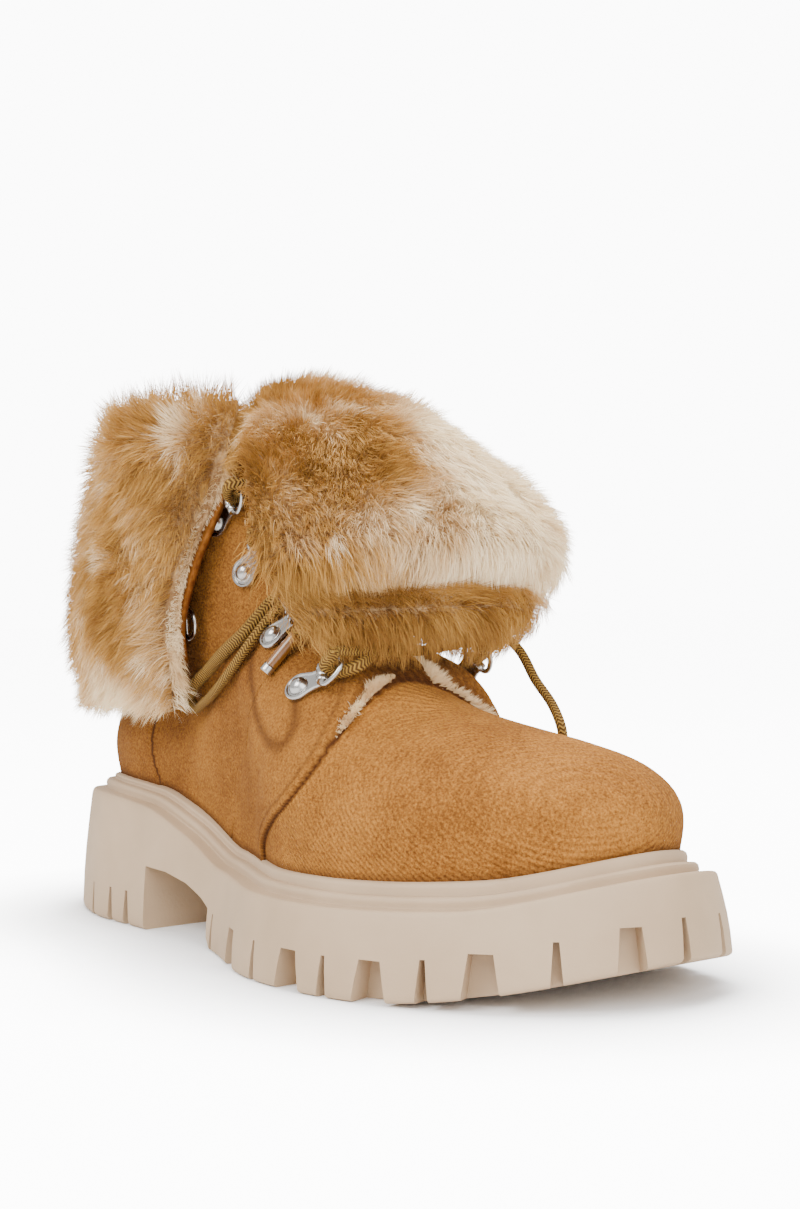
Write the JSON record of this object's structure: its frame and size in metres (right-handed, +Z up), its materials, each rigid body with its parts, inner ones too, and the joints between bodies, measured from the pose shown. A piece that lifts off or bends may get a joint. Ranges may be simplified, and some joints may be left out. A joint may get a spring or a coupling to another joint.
{
  "type": "sheepskin boot",
  "caption": "Right lace-up ankle boot of tan suede with a deep fur lining, collar and tongue folded down as fur cuffs, on a thick beige lug sole",
  "frame": {"origin": "on the ground under the middle of the heel", "axes": "+X towards the toe, +Y towards the wearer's left, the inner side of this right boot, +Z up"},
  "size_m": [0.2859, 0.124, 0.1794],
  "materials": {
    "sole_rubber": "matte",
    "suede": "napped",
    "lining": "napped",
    "fur": "napped",
    "nickel": "polished",
    "lace": "woven",
    "sleeve": "glossy"
  },
  "bodies": {
    "root": {"sole": "sole_rubber", "upper": "suede", "insole": "lining", "tongue": "suede", "cuff_fur": "fur", "tongue_fur": "fur", "clip_outer_1": "nickel", "clip_outer_2": "nickel", "clip_outer_3": "nickel", "clip_outer_4": "nickel", "clip_inner_1": "nickel", "clip_inner_2": "nickel", "clip_inner_3": "nickel", "clip_inner_4": "nickel", "ring_outer_1": "nickel", "ring_outer_2": "nickel", "ring_outer_3": "nickel", "ring_outer_4": "nickel", "ring_inner_1": "nickel", "ring_inner_2": "nickel", "ring_inner_3": "nickel", "ring_inner_4": "nickel", "lace_bars": "lace", "lace_knot": "lace", "lace_loop_outer": "lace", "lace_loop_inner": "lace", "lace_end_outer": "lace", "lace_end_inner": "lace", "sleeve_outer": "sleeve", "sleeve_inner": "sleeve"}
  },
  "joints": []
}
